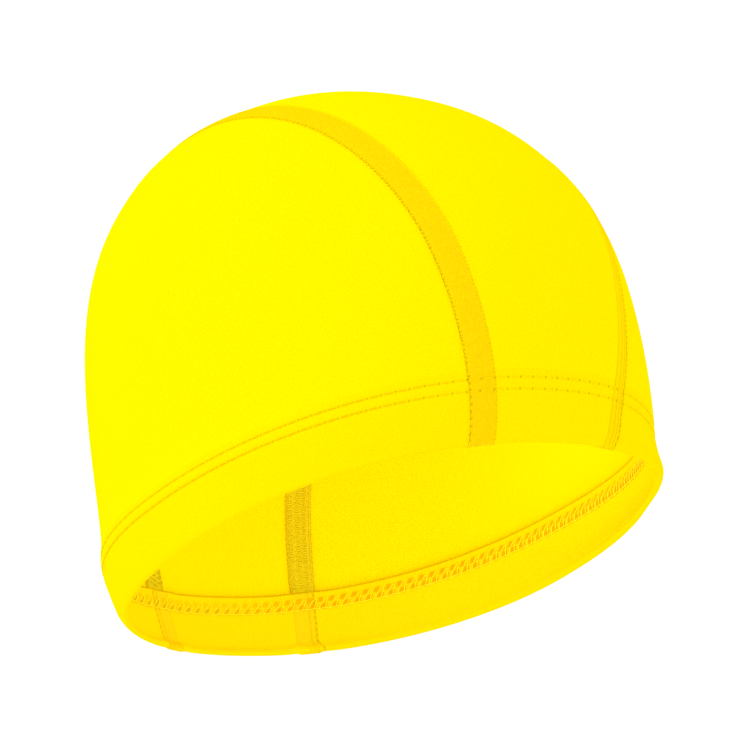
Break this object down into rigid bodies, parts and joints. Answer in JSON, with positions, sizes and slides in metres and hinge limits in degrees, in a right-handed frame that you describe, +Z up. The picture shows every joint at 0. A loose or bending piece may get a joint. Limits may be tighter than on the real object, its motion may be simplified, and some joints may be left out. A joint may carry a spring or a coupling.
{
  "type": "swim cap",
  "caption": "Close-fitting stretch-knit swim cap: a centre strip and two ear panels, seams pressed inside, and a turned-up topstitched hem round the rim.",
  "frame": {"origin": "middle of the rim opening, where the cap is held on the head", "axes": "+Z up along the wearer's head, -Y towards the forehead, +X towards the wearer's left; the rim slopes down from forehead to nape by 20 degrees"},
  "size_m": [0.166, 0.1934, 0.1836],
  "materials": {
    "centre_knit": "smooth stretch knit, softly lustrous, lemon yellow",
    "ear_knit": "smooth stretch knit, softly lustrous, lemon yellow",
    "overlock": "overlocked cloth edge and sewing thread, matt yellow"
  },
  "bodies": {
    "root": {"centre_panel": "centre_knit", "left_panel": "ear_knit", "right_panel": "ear_knit", "left_seam_allowance": "overlock", "right_seam_allowance": "overlock"}
  },
  "joints": []
}
